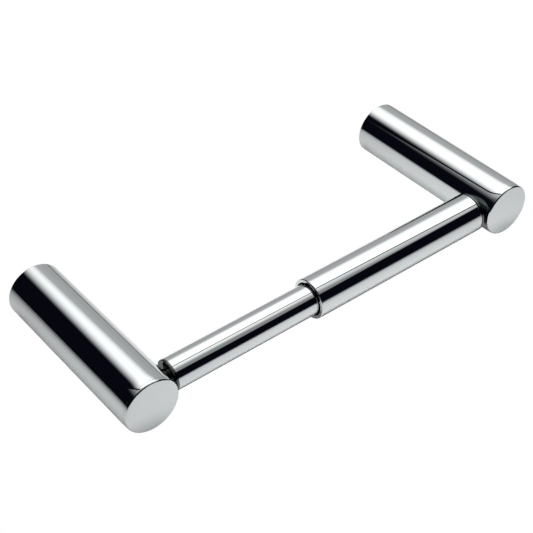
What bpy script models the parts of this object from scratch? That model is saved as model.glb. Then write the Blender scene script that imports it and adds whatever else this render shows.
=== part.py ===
"""Toilet paper holder: two round wall posts with a sprung telescopic roller between them.

Metres, +Z up. The origin is on the wall, midway between the posts and level with their axes.
The posts stand out of the wall along -Y and the roller lies along X, near their front ends.
"""

import math

import bpy
import bmesh

# Overall sizes
POST_SPACING = 0.195          # between the posts' axes
POST_LENGTH = 0.0865          # from the wall to the front face
POST_DIAMETER = 0.025
ROLLER_SETBACK = 0.010        # from the posts' front faces back to the roller's axis

# Post shell
POST_WALL = 0.0015
POST_EDGE_RADIUS = 0.0006     # rounding of the front edge
WALL_END_CHAMFER = 0.0003
CAP_THICKNESS = 0.0016
CAP_SPIGOT_LENGTH = 0.0025

# Wall fixing inside each post
SLEEVE_WALL = 0.0013
SLEEVE_LENGTH = 0.0155
SLEEVE_SETBACK = 0.0005       # behind the post's wall end
BRACKET_LENGTH = 0.013
BRACKET_CHAMFER = 0.001
BRACKET_FLOOR = 0.003         # left under the screw heads
BRACKET_RIM = 0.0007          # least wall between a head's counterbore and the groove
WOOD_SCREW_HOLE_RADIUS = 0.0019
WOOD_SCREW_HEAD_RADIUS = 0.0034
GROOVE_DEPTH = 0.001
GROOVE_HALF_WIDTH = 0.0016
SET_SCREW_RADIUS = 0.002
SET_SCREW_TIP_RADIUS = 0.0004
SET_SCREW_FROM_WALL = 0.008
SET_SCREW_RECESS = 0.0004     # below the post's surface
HEX_ACROSS_FLATS = 0.002
HEX_DEPTH = 0.0016

# Roller
OUTER_TUBE_DIAMETER = 0.0182
OUTER_TUBE_WALL = 0.001
OUTER_TUBE_LENGTH = 0.0939
OUTER_TUBE_END_RADIUS = 0.00045
INNER_TUBE_WALL = 0.0008
MOUTH_RADIUS = 0.0009         # rounding where the thick tube's wall rolls in
LIP_OVERHANG = 0.0005         # how far the rolled lip stands into the bore
LIP_LENGTH = 0.0012
LIP_EDGE_RADIUS = 0.0004
SPARE_EXTENSION = 0.010       # how much further the free roller opens before the guide meets the lip
GUIDE_COLLAR_LENGTH = 0.008
GUIDE_CHAMFER = 0.0004
PLUG_DEPTH = 0.010            # of each plug's spigot in its tube
OUTER_SHOULDER = 0.0015
OUTER_SHOULDER_RADIUS = 0.0005
INNER_SHOULDER = 0.001
INNER_SHOULDER_RADIUS = 0.0008
SHOULDER_STEP = 0.0001        # a shoulder's radius is this much less than its tube's
PIN_DIAMETER = 0.007
PIN_LENGTH = 0.007
PIN_TIP_RADIUS = 0.0008
BUSH_WALL = 0.001
BUSH_FLOOR = 0.0012
SPRING_WIRE = 0.0009
SPRING_TURNS = 14
SPRING_END_TURNS = 1.25       # closed turns at each end
SPRING_NOSE_LENGTH = 0.004
SPRING_NOSE_CHAMFER = 0.0005

# Clearances
FIT_GAP = 0.0003              # between pieces that are fixed to each other
SLIDE_GAP = 0.0002            # round the guide in the thick tube
MOUTH_GAP = 0.00065           # round the thin tube in the lip at the mouth
SPRING_GAP = 0.00215          # round the spring in the thick tube
PIN_GAP = 0.0003              # round and beyond each pin in its bush
END_GAP = 0.0013              # between the roller's shoulders and the posts
NOSE_GAP = 0.0005             # round each spring nose
CLOSED_TURN_GAP = 0.00015     # between the spring's closed turns

# Fineness
POST_SEGMENTS = 48
TUBE_SEGMENTS = 48
FIXING_SEGMENTS = 36
SMALL_SEGMENTS = 28
ARC_STEPS = 3
SPRING_POINTS_PER_TURN = 12
SHARP_ANGLE = math.radians(35)

# Derived sizes of the posts; a post's heights are measured from the wall
POST_RADIUS = POST_DIAMETER / 2
POST_BORE = POST_RADIUS - POST_WALL
POST_TUBE_END = POST_LENGTH - CAP_THICKNESS - FIT_GAP
ROLLER_FROM_WALL = POST_LENGTH - ROLLER_SETBACK
SLEEVE_RADIUS = POST_BORE - FIT_GAP
SLEEVE_BORE = SLEEVE_RADIUS - SLEEVE_WALL
BRACKET_RADIUS = SLEEVE_BORE - FIT_GAP
SCREW_OFFSET = BRACKET_RADIUS - GROOVE_DEPTH - BRACKET_RIM - WOOD_SCREW_HEAD_RADIUS
GROOVE_SLOPE = GROOVE_DEPTH / GROOVE_HALF_WIDTH
SET_SCREW_TIP = BRACKET_RADIUS - GROOVE_DEPTH + SET_SCREW_TIP_RADIUS * GROOVE_SLOPE + FIT_GAP
SET_SCREW_END = POST_RADIUS - SET_SCREW_RECESS
SET_SCREW_CONE = SET_SCREW_RADIUS - SET_SCREW_TIP_RADIUS

# Derived sizes of the roller; its heights are measured along X
INNER_FACE = POST_SPACING / 2 - POST_RADIUS
SHOULDER_FACE = INNER_FACE - END_GAP
PIN_RADIUS = PIN_DIAMETER / 2
PIN_END = SHOULDER_FACE + PIN_LENGTH
OUTER_RADIUS = OUTER_TUBE_DIAMETER / 2
OUTER_BORE = OUTER_RADIUS - OUTER_TUBE_WALL
OUTER_TUBE_END = SHOULDER_FACE - OUTER_SHOULDER - FIT_GAP
MOUTH = OUTER_TUBE_END - OUTER_TUBE_LENGTH
LIP_BORE = OUTER_BORE - LIP_OVERHANG
INNER_RADIUS = LIP_BORE - MOUTH_GAP
INNER_BORE = INNER_RADIUS - INNER_TUBE_WALL
INNER_TUBE_LEFT_END = -SHOULDER_FACE + INNER_SHOULDER + FIT_GAP
GUIDE_RADIUS = OUTER_BORE - SLIDE_GAP
GUIDE_START = MOUTH + LIP_LENGTH + SPARE_EXTENSION
GUIDE_END = GUIDE_START + GUIDE_COLLAR_LENGTH
INNER_TUBE_RIGHT_END = GUIDE_START - FIT_GAP
OUTER_PLUG_START = OUTER_TUBE_END - PLUG_DEPTH
SPRING_MEAN_RADIUS = OUTER_BORE - SPRING_GAP - SPRING_WIRE / 2
SPRING_NOSE_RADIUS = SPRING_MEAN_RADIUS - SPRING_WIRE / 2 - NOSE_GAP
BUSH_BORE = PIN_RADIUS + PIN_GAP
BUSH_RADIUS = BUSH_BORE + BUSH_WALL
BUSH_HOLE_RADIUS = BUSH_RADIUS + FIT_GAP
BUSH_MOUTH = math.sqrt(POST_RADIUS ** 2 - BUSH_HOLE_RADIUS ** 2)
BUSH_SEAT = POST_SPACING / 2 - PIN_END - PIN_GAP

# Which way a piece's own +Z points
TO_FRONT = (math.radians(90), 0, 0)
TO_RIGHT = (0, math.radians(90), 0)
TO_LEFT = (0, math.radians(-90), 0)
UPRIGHT = (0, 0, 0)

SIDES = (("left", -1), ("right", 1))


def clear_scene():
    for obj in list(bpy.data.objects):
        bpy.data.objects.remove(obj, do_unlink=True)


def new_collection(name):
    collection = bpy.data.collections.new(name)
    bpy.context.scene.collection.children.link(collection)
    return collection


def material(name, color, roughness, metallic):
    """A Principled material of one colour."""
    made = bpy.data.materials.new(name)
    made.use_nodes = True
    shader = made.node_tree.nodes["Principled BSDF"]
    shader.inputs["Base Color"].default_value = (*color, 1)
    shader.inputs["Roughness"].default_value = roughness
    shader.inputs["Metallic"].default_value = metallic
    return made


def arc(centre, radius, start, end):
    """Profile points on a circle round centre (radius, height), from one angle to another, in degrees."""
    step = math.radians(end - start) / ARC_STEPS
    angles = [math.radians(start) + step * i for i in range(ARC_STEPS + 1)]
    return [(centre[0] + radius * math.cos(a), centre[1] + radius * math.sin(a)) for a in angles]


def turned(name, profile, segments, collection, ring=False):
    """A piece turned round its own Z from (radius, height) points that run down its outer side.

    A solid's profile starts and ends on the axis; a ring's profile is joined end to start.
    """
    points = [(radius, 0, height) for radius, height in profile]
    edges = [(i, i + 1) for i in range(len(points) - 1)]
    if ring:
        edges.append((len(points) - 1, 0))
    outline = bpy.data.meshes.new(name + "_outline")
    outline.from_pydata(points, edges, [])
    lathe = bpy.data.objects.new(name + "_lathe", outline)
    collection.objects.link(lathe)
    screw = lathe.modifiers.new("Turn", "SCREW")
    screw.steps = segments
    screw.render_steps = segments
    screw.use_merge_vertices = True
    screw.merge_threshold = 0.000001
    depsgraph = bpy.context.evaluated_depsgraph_get()
    mesh = bpy.data.meshes.new_from_object(lathe.evaluated_get(depsgraph))
    mesh.name = name
    bpy.data.objects.remove(lathe, do_unlink=True)
    bpy.data.meshes.remove(outline)
    mesh.shade_smooth()
    mesh.set_sharp_from_angle(angle=SHARP_ANGLE)
    obj = bpy.data.objects.new(name, mesh)
    collection.objects.link(obj)
    return obj


def place(obj, location, rotation, parent, finish):
    """Puts a piece where it belongs under its parent and gives it its material."""
    obj.location = location
    obj.rotation_euler = rotation
    obj.parent = parent
    if finish is not None:
        obj.data.materials.append(finish)
    return obj


def cylinder_cutter(name, radius, depth, sides, location, rotation, parent, collection):
    """A cylinder centred on its location, used only for cutting."""
    mesh = bpy.data.meshes.new(name)
    shape = bmesh.new()
    bmesh.ops.create_cone(
        shape, cap_ends=True, segments=sides, radius1=radius, radius2=radius, depth=depth
    )
    shape.to_mesh(mesh)
    shape.free()
    cutter = bpy.data.objects.new(name, mesh)
    collection.objects.link(cutter)
    as_cutter(cutter)
    return place(cutter, location, rotation, parent, None)


def as_cutter(obj):
    obj.hide_render = True
    obj.display_type = "WIRE"


def cut(obj, cutter):
    modifier = obj.modifiers.new("Cut " + cutter.name, "BOOLEAN")
    modifier.operation = "DIFFERENCE"
    modifier.solver = "EXACT"
    modifier.object = cutter


def empty(name, location, parent, collection):
    obj = bpy.data.objects.new(name, None)
    collection.objects.link(obj)
    obj.location = location
    obj.parent = parent
    return obj


def post_tube(side, parts):
    profile = [
        (POST_RADIUS, POST_TUBE_END),
        (POST_RADIUS, WALL_END_CHAMFER),
        (POST_RADIUS - WALL_END_CHAMFER, 0),
        (POST_BORE, 0),
        (POST_BORE, POST_TUBE_END),
    ]
    return turned(side + "_post_tube", profile, POST_SEGMENTS, parts, ring=True)


def post_cap(side, parts):
    """The flat front face with its rounded edge, and a spigot that enters the tube."""
    edge_centre = (POST_RADIUS - POST_EDGE_RADIUS, POST_LENGTH - POST_EDGE_RADIUS)
    back = POST_LENGTH - CAP_THICKNESS
    profile = [(0, POST_LENGTH)]
    profile += arc(edge_centre, POST_EDGE_RADIUS, 90, 0)
    profile += [
        (POST_RADIUS, back),
        (POST_BORE - FIT_GAP, back),
        (POST_BORE - FIT_GAP, back - CAP_SPIGOT_LENGTH),
        (0, back - CAP_SPIGOT_LENGTH),
    ]
    return turned(side + "_post_cap", profile, POST_SEGMENTS, parts)


def post_sleeve(side, parts):
    top = SLEEVE_SETBACK + SLEEVE_LENGTH
    profile = [
        (SLEEVE_RADIUS, top),
        (SLEEVE_RADIUS, SLEEVE_SETBACK),
        (SLEEVE_BORE, SLEEVE_SETBACK),
        (SLEEVE_BORE, top),
    ]
    return turned(side + "_post_sleeve", profile, FIXING_SEGMENTS, parts, ring=True)


def wall_bracket(side, parts, cutters, parent):
    """A boss with a groove for the set screw and two counterbored holes for wood screws."""
    profile = [
        (0, BRACKET_LENGTH),
        (BRACKET_RADIUS - BRACKET_CHAMFER, BRACKET_LENGTH),
        (BRACKET_RADIUS, BRACKET_LENGTH - BRACKET_CHAMFER),
        (BRACKET_RADIUS, SET_SCREW_FROM_WALL + GROOVE_HALF_WIDTH),
        (BRACKET_RADIUS - GROOVE_DEPTH, SET_SCREW_FROM_WALL),
        (BRACKET_RADIUS, SET_SCREW_FROM_WALL - GROOVE_HALF_WIDTH),
        (BRACKET_RADIUS, 0),
        (0, 0),
    ]
    boss = turned(side + "_wall_bracket", profile, FIXING_SEGMENTS, parts)
    past = BRACKET_CHAMFER
    counterbored = [
        (0, BRACKET_LENGTH + past),
        (WOOD_SCREW_HEAD_RADIUS, BRACKET_LENGTH + past),
        (WOOD_SCREW_HEAD_RADIUS, BRACKET_FLOOR),
        (WOOD_SCREW_HOLE_RADIUS, BRACKET_FLOOR),
        (WOOD_SCREW_HOLE_RADIUS, -past),
        (0, -past),
    ]
    for place_name, offset in (("near", -SCREW_OFFSET), ("far", SCREW_OFFSET)):
        name = f"cut_{side}_{place_name}_screw_hole"
        cutter = turned(name, counterbored, SMALL_SEGMENTS, cutters)
        as_cutter(cutter)
        place(cutter, (offset, 0, 0), TO_FRONT, parent, None)
        cut(boss, cutter)
    return boss


def set_screw(side, parts, cutters, parent):
    """A cone-point screw with its tip up in the bracket's groove and a hexagon socket below."""
    profile = [
        (0, -SET_SCREW_TIP),
        (SET_SCREW_TIP_RADIUS, -SET_SCREW_TIP),
        (SET_SCREW_RADIUS, -SET_SCREW_TIP - SET_SCREW_CONE),
        (SET_SCREW_RADIUS, -SET_SCREW_END),
        (0, -SET_SCREW_END),
    ]
    screw = turned(side + "_set_screw", profile, SMALL_SEGMENTS, parts)
    corner_radius = HEX_ACROSS_FLATS / 2 / math.cos(math.radians(30))
    centre = (0, -SET_SCREW_FROM_WALL, -SET_SCREW_END)
    hexagon = cylinder_cutter(
        f"cut_{side}_hexagon", corner_radius, HEX_DEPTH * 2, 6, centre, UPRIGHT, parent, cutters
    )
    cut(screw, hexagon)
    return screw


def socket_bush(side, parts):
    """A cup whose heights are measured from the post's axis."""
    profile = [
        (0, BUSH_SEAT),
        (BUSH_BORE, BUSH_SEAT),
        (BUSH_BORE, BUSH_MOUTH),
        (BUSH_RADIUS, BUSH_MOUTH),
        (BUSH_RADIUS, BUSH_SEAT - BUSH_FLOOR),
        (0, BUSH_SEAT - BUSH_FLOOR),
    ]
    return turned(side + "_socket_bush", profile, SMALL_SEGMENTS, parts)


def post(side, sign, parts, cutters, finishes):
    """One wall post with everything that is fixed in it."""
    base = empty(side + "_post", (sign * POST_SPACING / 2, 0, 0), None, parts)
    inward = TO_LEFT if sign > 0 else TO_RIGHT
    tube = place(post_tube(side, parts), (0, 0, 0), TO_FRONT, base, finishes["tube"])
    place(post_cap(side, parts), (0, 0, 0), TO_FRONT, base, finishes["cap"])
    sleeve = place(post_sleeve(side, parts), (0, 0, 0), TO_FRONT, base, finishes["sleeve"])
    bracket = wall_bracket(side, parts, cutters, base)
    place(bracket, (0, 0, 0), TO_FRONT, base, finishes["bracket"])
    screw = set_screw(side, parts, cutters, base)
    place(screw, (0, -SET_SCREW_FROM_WALL, 0), UPRIGHT, base, finishes["screw"])
    bush = socket_bush(side, parts)
    place(bush, (0, -ROLLER_FROM_WALL, 0), inward, base, finishes["bush"])

    reach = POST_WALL * 4
    socket_hole = cylinder_cutter(
        f"cut_{side}_socket_hole",
        BUSH_HOLE_RADIUS,
        reach,
        SMALL_SEGMENTS,
        (-sign * POST_RADIUS, -ROLLER_FROM_WALL, 0),
        inward,
        base,
        cutters,
    )
    cut(tube, socket_hole)
    tapped_hole = cylinder_cutter(
        f"cut_{side}_tapped_hole",
        SET_SCREW_RADIUS + FIT_GAP,
        (POST_WALL + SLEEVE_WALL + FIT_GAP) * 3,
        SMALL_SEGMENTS,
        (0, -SET_SCREW_FROM_WALL, -POST_RADIUS),
        UPRIGHT,
        base,
        cutters,
    )
    cut(tube, tapped_hole)
    cut(sleeve, tapped_hole)


def roller_outer_tube(parts):
    """The thick tube, from its plain end down to the mouth, where the wall rolls in to a lip."""
    end_centre = (OUTER_RADIUS - OUTER_TUBE_END_RADIUS, OUTER_TUBE_END - OUTER_TUBE_END_RADIUS)
    mouth_centre = (OUTER_RADIUS - MOUTH_RADIUS, MOUTH + MOUTH_RADIUS)
    lip_centre = (LIP_BORE + LIP_EDGE_RADIUS, MOUTH + LIP_EDGE_RADIUS)
    profile = arc(end_centre, OUTER_TUBE_END_RADIUS, 90, 0)
    profile += arc(mouth_centre, MOUTH_RADIUS, 0, -90)
    profile += arc(lip_centre, LIP_EDGE_RADIUS, 270, 180)
    profile += [
        (LIP_BORE, MOUTH + LIP_LENGTH),
        (OUTER_BORE, MOUTH + LIP_LENGTH + LIP_OVERHANG),
        (OUTER_BORE, OUTER_TUBE_END),
    ]
    return turned("roller_outer_tube", profile, TUBE_SEGMENTS, parts, ring=True)


def roller_outer_plug(parts):
    """Pin, shoulder, spigot and spring nose, from right to left."""
    radius = OUTER_RADIUS - SHOULDER_STEP
    back = SHOULDER_FACE - OUTER_SHOULDER
    spigot = OUTER_BORE - FIT_GAP
    edge = OUTER_SHOULDER_RADIUS
    profile = [(0, PIN_END)]
    profile += arc((PIN_RADIUS - PIN_TIP_RADIUS, PIN_END - PIN_TIP_RADIUS), PIN_TIP_RADIUS, 90, 0)
    profile += [(PIN_RADIUS, SHOULDER_FACE)]
    profile += arc((radius - edge, SHOULDER_FACE - edge), edge, 90, 0)
    profile += arc((radius - OUTER_TUBE_END_RADIUS, back + OUTER_TUBE_END_RADIUS),
                   OUTER_TUBE_END_RADIUS, 0, -90)
    profile += [
        (spigot, back),
        (spigot, OUTER_PLUG_START),
        (SPRING_NOSE_RADIUS, OUTER_PLUG_START),
        (SPRING_NOSE_RADIUS, OUTER_PLUG_START - SPRING_NOSE_LENGTH + SPRING_NOSE_CHAMFER),
        (SPRING_NOSE_RADIUS - SPRING_NOSE_CHAMFER, OUTER_PLUG_START - SPRING_NOSE_LENGTH),
        (0, OUTER_PLUG_START - SPRING_NOSE_LENGTH),
    ]
    return turned("roller_outer_plug", profile, TUBE_SEGMENTS, parts)


def roller_inner_tube(parts):
    profile = [
        (INNER_RADIUS, INNER_TUBE_RIGHT_END),
        (INNER_RADIUS, INNER_TUBE_LEFT_END),
        (INNER_BORE, INNER_TUBE_LEFT_END),
        (INNER_BORE, INNER_TUBE_RIGHT_END),
    ]
    return turned("roller_inner_tube", profile, TUBE_SEGMENTS, parts, ring=True)


def roller_inner_plug(parts):
    """Spigot, shoulder and pin, from right to left."""
    radius = INNER_RADIUS - SHOULDER_STEP
    back = -SHOULDER_FACE + INNER_SHOULDER
    spigot = INNER_BORE - FIT_GAP
    edge = INNER_SHOULDER_RADIUS
    profile = [
        (0, back + PLUG_DEPTH),
        (spigot, back + PLUG_DEPTH),
        (spigot, back),
        (radius, back),
    ]
    profile += arc((radius - edge, -SHOULDER_FACE + edge), edge, 0, -90)
    profile += [(PIN_RADIUS, -SHOULDER_FACE)]
    profile += arc((PIN_RADIUS - PIN_TIP_RADIUS, -PIN_END + PIN_TIP_RADIUS), PIN_TIP_RADIUS, 0, -90)
    profile += [(0, -PIN_END)]
    return turned("roller_inner_plug", profile, TUBE_SEGMENTS, parts)


def roller_guide(parts):
    """Spring nose, sliding collar and the spigot that enters the thin tube, from right to left."""
    nose_end = GUIDE_END + SPRING_NOSE_LENGTH
    profile = [
        (0, nose_end),
        (SPRING_NOSE_RADIUS - SPRING_NOSE_CHAMFER, nose_end),
        (SPRING_NOSE_RADIUS, nose_end - SPRING_NOSE_CHAMFER),
        (SPRING_NOSE_RADIUS, GUIDE_END),
        (GUIDE_RADIUS - GUIDE_CHAMFER, GUIDE_END),
        (GUIDE_RADIUS, GUIDE_END - GUIDE_CHAMFER),
        (GUIDE_RADIUS, GUIDE_START + GUIDE_CHAMFER),
        (GUIDE_RADIUS - GUIDE_CHAMFER, GUIDE_START),
        (INNER_BORE - FIT_GAP, GUIDE_START),
        (INNER_BORE - FIT_GAP, GUIDE_START - PLUG_DEPTH),
        (0, GUIDE_START - PLUG_DEPTH),
    ]
    return turned("roller_guide", profile, TUBE_SEGMENTS, parts)


def spring_height(turn, start, end):
    """Height of the wire's centre after so many turns: closed turns at both ends, open between."""
    closed_pitch = SPRING_WIRE + CLOSED_TURN_GAP
    closed_height = SPRING_END_TURNS * closed_pitch
    open_turns = SPRING_TURNS - 2 * SPRING_END_TURNS
    open_pitch = (end - start - 2 * closed_height) / open_turns
    below = min(turn, SPRING_END_TURNS)
    above = max(turn - SPRING_TURNS + SPRING_END_TURNS, 0)
    between = turn - below - above
    return start + (below + above) * closed_pitch + between * open_pitch


def roller_spring(parts):
    """A helix of round wire between the guide's collar and the outer plug."""
    start = GUIDE_END + FIT_GAP + SPRING_WIRE / 2
    end = OUTER_PLUG_START - FIT_GAP - SPRING_WIRE / 2
    curve = bpy.data.curves.new("roller_spring", "CURVE")
    curve.dimensions = "3D"
    curve.bevel_depth = SPRING_WIRE / 2
    curve.bevel_resolution = 2
    curve.use_fill_caps = True
    count = SPRING_TURNS * SPRING_POINTS_PER_TURN + 1
    wire = curve.splines.new("POLY")
    wire.points.add(count - 1)
    for i in range(count):
        turn = i / SPRING_POINTS_PER_TURN
        angle = turn * math.tau
        x = SPRING_MEAN_RADIUS * math.cos(angle)
        y = SPRING_MEAN_RADIUS * math.sin(angle)
        wire.points[i].co = (x, y, spring_height(turn, start, end), 1)
    obj = bpy.data.objects.new("roller_spring", curve)
    parts.objects.link(obj)
    return obj


def roller(parts, finishes):
    """The roller's pieces hang from its own axis, and what slides from a second empty there."""
    axis = empty("roller_axis", (0, -ROLLER_FROM_WALL, 0), None, parts)
    slide = empty("roller_slide", (0, 0, 0), axis, parts)
    centre = (0, 0, 0)
    place(roller_outer_tube(parts), centre, TO_RIGHT, axis, finishes["outer_tube"])
    place(roller_outer_plug(parts), centre, TO_RIGHT, axis, finishes["outer_plug"])
    place(roller_spring(parts), centre, TO_RIGHT, axis, finishes["spring"])
    place(roller_inner_tube(parts), centre, TO_RIGHT, slide, finishes["inner_tube"])
    place(roller_inner_plug(parts), centre, TO_RIGHT, slide, finishes["inner_plug"])
    place(roller_guide(parts), centre, TO_RIGHT, slide, finishes["guide"])


def make_finishes():
    chrome = (0.86, 0.87, 0.88)
    dark_chrome = (0.24, 0.25, 0.25)
    return {
        "tube": material("post_tube_chrome", chrome, 0.04, 1),
        "cap": material("post_cap_chrome", chrome, 0.05, 1),
        "sleeve": material("sleeve_brass", (0.72, 0.53, 0.25), 0.35, 1),
        "bracket": material("bracket_zinc", (0.55, 0.56, 0.58), 0.45, 1),
        "screw": material("set_screw_steel", (0.42, 0.42, 0.43), 0.3, 1),
        "bush": material("bush_nylon", (0.80, 0.79, 0.75), 0.5, 0),
        "outer_tube": material("outer_tube_chrome", chrome, 0.04, 1),
        "outer_plug": material("outer_plug_chrome", dark_chrome, 0.06, 1),
        "inner_tube": material("inner_tube_chrome", chrome, 0.04, 1),
        "inner_plug": material("inner_plug_chrome", dark_chrome, 0.06, 1),
        "guide": material("guide_nylon", (0.08, 0.08, 0.09), 0.5, 0),
        "spring": material("spring_steel", (0.50, 0.50, 0.51), 0.3, 1),
    }


def main():
    clear_scene()
    parts = new_collection("toilet_paper_holder")
    cutters = new_collection("cutters")
    finishes = make_finishes()
    for side, sign in SIDES:
        post(side, sign, parts, cutters, finishes)
    roller(parts, finishes)


if __name__ == "__main__":
    main()
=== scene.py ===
"""Looks of the toilet paper holder: chromed posts, a telescopic roller and what is inside them."""

import math

import bmesh
import bpy
import numpy as np
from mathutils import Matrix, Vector


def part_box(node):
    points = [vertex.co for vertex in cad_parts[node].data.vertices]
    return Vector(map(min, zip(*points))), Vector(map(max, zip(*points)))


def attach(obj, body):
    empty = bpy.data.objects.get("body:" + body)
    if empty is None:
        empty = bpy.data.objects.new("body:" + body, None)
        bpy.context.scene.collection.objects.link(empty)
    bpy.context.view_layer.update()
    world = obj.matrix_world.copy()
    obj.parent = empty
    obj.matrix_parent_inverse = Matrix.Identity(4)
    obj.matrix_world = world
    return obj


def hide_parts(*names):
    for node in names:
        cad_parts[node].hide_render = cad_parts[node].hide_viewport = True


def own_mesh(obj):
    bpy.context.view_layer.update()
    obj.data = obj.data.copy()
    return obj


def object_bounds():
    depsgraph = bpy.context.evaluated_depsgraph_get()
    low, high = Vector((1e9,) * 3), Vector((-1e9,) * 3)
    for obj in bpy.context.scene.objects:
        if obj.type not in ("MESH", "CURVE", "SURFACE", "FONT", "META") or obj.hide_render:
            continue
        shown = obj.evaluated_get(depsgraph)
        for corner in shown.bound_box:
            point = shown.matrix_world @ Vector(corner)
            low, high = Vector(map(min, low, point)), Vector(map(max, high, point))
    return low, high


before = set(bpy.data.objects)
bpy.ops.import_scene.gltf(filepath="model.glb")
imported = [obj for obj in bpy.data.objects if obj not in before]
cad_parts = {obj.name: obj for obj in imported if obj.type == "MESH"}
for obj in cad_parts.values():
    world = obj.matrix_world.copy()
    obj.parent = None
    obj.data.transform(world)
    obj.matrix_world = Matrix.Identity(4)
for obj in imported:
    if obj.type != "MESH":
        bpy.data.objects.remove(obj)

bl_info = {
    "name": "Toilet Paper Holder",
    "version": (1, 0, 0),
    "blender": (4, 5, 0),
    "location": "3D View > Sidebar > Holder",
    "description": "Builds the fine surfaces, finishes and stage of a wall-mounted toilet paper holder",
    "category": "Add Mesh",
}

MM = 0.001
CAD_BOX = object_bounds()
RIGHT_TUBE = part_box("right_post_tube")
LEFT_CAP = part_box("left_post_cap")
THICK_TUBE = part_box("roller_outer_tube")
THIN_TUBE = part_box("roller_inner_tube")
THICK_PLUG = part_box("roller_outer_plug")
THIN_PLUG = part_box("roller_inner_plug")
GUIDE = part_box("roller_guide")
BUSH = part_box("left_socket_bush")
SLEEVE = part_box("left_post_sleeve")
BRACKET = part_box("left_wall_bracket")
SET_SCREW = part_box("left_set_screw")
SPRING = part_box("roller_spring")

SIDES = (("left", -1), ("right", 1))

# Which way a turned piece's own axis points: the rows give world X, Y and Z from its own X, Y and Z
TO_FRONT = np.array([[1, 0, 0], [0, 0, -1], [0, 1, 0]])
TO_RIGHT = np.array([[0, 0, 1], [0, 1, 0], [-1, 0, 0]])
TO_LEFT = np.array([[0, 0, -1], [0, 1, 0], [1, 0, 0]])
UPRIGHT = np.eye(3)

# Fineness of the turned surfaces
POST_SEGMENTS = 256
TUBE_SEGMENTS = 224
FIXING_SEGMENTS = 128
SMALL_SEGMENTS = 96
WIRE_SEGMENTS = 20
ARC_STEPS = 10                # pieces of a quarter circle
COIL_STEPS = 64               # pieces of one turn of the spring
SUPPORT = 0.12 * MM           # a loop this far off each rounded corner keeps the straight run's shading true
SUPPORT_SHARE = 0.3           # the most of a straight run that lies between a corner and that loop
FILLET_SHARE = 0.45           # the most of a straight run that one rounding may take
SHARP_ANGLE = math.radians(32)
WIRE_SHARP_ANGLE = math.radians(60)
WELD = 0.0005 * MM            # points nearer than this become one, so a drilled piece keeps no slivers

EDGE_BREAK = 0.06 * MM        # the least rounding of any corner
HAIRLINE = 0.02 * MM          # left between two pieces that are soldered and polished over
CAD_GAP = 0.3 * MM            # the frame leaves this between two pieces that are joined
CUTTER_PAST = 1.0 * MM        # how far a cutter stands out of the piece that it drills

# A Mix node's two colours and its result, which share their names with its other data types
MIX_A = 6
MIX_B = 7
MIX_RESULT = 2

NOISE_SPAN = (0.3, 0.7)       # where nearly all of a noise's values lie

# Real sizes of the finishes' patterns
STREAK_WIDTH = 1.43 * MM      # streaks of haze that buffing leaves in chrome
STREAK_LENGTH = 40.0 * MM
CLOUD_SIZE = 11.1 * MM        # soft patches in the chrome's layer
PATINA_SIZE = 4.17 * MM       # patches of tarnish or passivation on turned metal
MOULD_GRAIN = 0.154 * MM      # matt texture of an injection mould
FLOW_SIZE = 5.56 * MM         # cloudiness where the nylon flowed
DIE_LINES = 30                # on each half of the spring's wire
DIE_LINE_LENGTH = 11.1 * MM
PAPER_MOTTLE = 71.4 * MM      # faint patches of the background paper
GRAIN_ALONG_X = (1 / STREAK_LENGTH, 1 / STREAK_WIDTH, 1 / STREAK_WIDTH)
GRAIN_ALONG_Y = (1 / STREAK_WIDTH, 1 / STREAK_LENGTH, 1 / STREAK_WIDTH)


def linear(code):
    """A colour's linear red, green and blue from its sRGB hex code."""
    parts = np.array([int(code[i:i + 2], 16) for i in (1, 3, 5)]) / 255
    return tuple(np.where(parts <= 0.04045, parts / 12.92, ((parts + 0.055) / 1.055) ** 2.4))


class HolderSizes(bpy.types.PropertyGroup):
    """Sizes that the frame doesn't hold, in metres."""

    post_wall: bpy.props.FloatProperty(
        name="Post wall", description="Wall of each post tube", default=1.5 * MM, unit="LENGTH"
    )
    edge_radius: bpy.props.FloatProperty(
        name="Edge radius", description="Rounding of each post's front edge", default=0.75 * MM,
        unit="LENGTH"
    )
    roll_off_length: bpy.props.FloatProperty(
        name="Roll-off length", description="Stretch behind the front edge that buffing has worn down",
        default=7.0 * MM, unit="LENGTH"
    )
    roll_off_depth: bpy.props.FloatProperty(
        name="Roll-off depth", description="How much buffing has taken off at the front edge",
        default=0.26 * MM, unit="LENGTH"
    )
    cap_spigot: bpy.props.FloatProperty(
        name="Cap spigot", description="Clearance of the cap's spigot in the tube", default=0.3 * MM,
        unit="LENGTH"
    )
    thick_wall: bpy.props.FloatProperty(
        name="Thick tube wall", description="Wall of the roller's thick tube", default=1.0 * MM,
        unit="LENGTH"
    )
    thin_wall: bpy.props.FloatProperty(
        name="Thin tube wall", description="Wall of the roller's thin tube", default=0.8 * MM, unit="LENGTH"
    )
    mouth_radius: bpy.props.FloatProperty(
        name="Mouth radius", description="Rounding where the thick tube's wall rolls in", default=0.55 * MM,
        unit="LENGTH"
    )
    lip_overhang: bpy.props.FloatProperty(
        name="Lip overhang", description="How far the rolled lip stands into the bore", default=0.5 * MM,
        unit="LENGTH"
    )
    pin_diameter: bpy.props.FloatProperty(
        name="Pin diameter", description="Diameter of the pins that enter the posts", default=7.0 * MM,
        unit="LENGTH"
    )
    pin_length: bpy.props.FloatProperty(
        name="Pin length", description="Length of each pin beyond its shoulder", default=7.0 * MM,
        unit="LENGTH"
    )
    spring_wire: bpy.props.FloatProperty(
        name="Spring wire", description="Diameter of the spring's wire", default=0.9 * MM, unit="LENGTH"
    )
    spring_turns: bpy.props.IntProperty(
        name="Spring turns", description="Turns of the coil spring, closed ones included", default=14
    )
    thread_pitch: bpy.props.FloatProperty(
        name="Thread pitch", description="Pitch of the set screws' thread", default=0.7 * MM, unit="LENGTH"
    )


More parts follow.
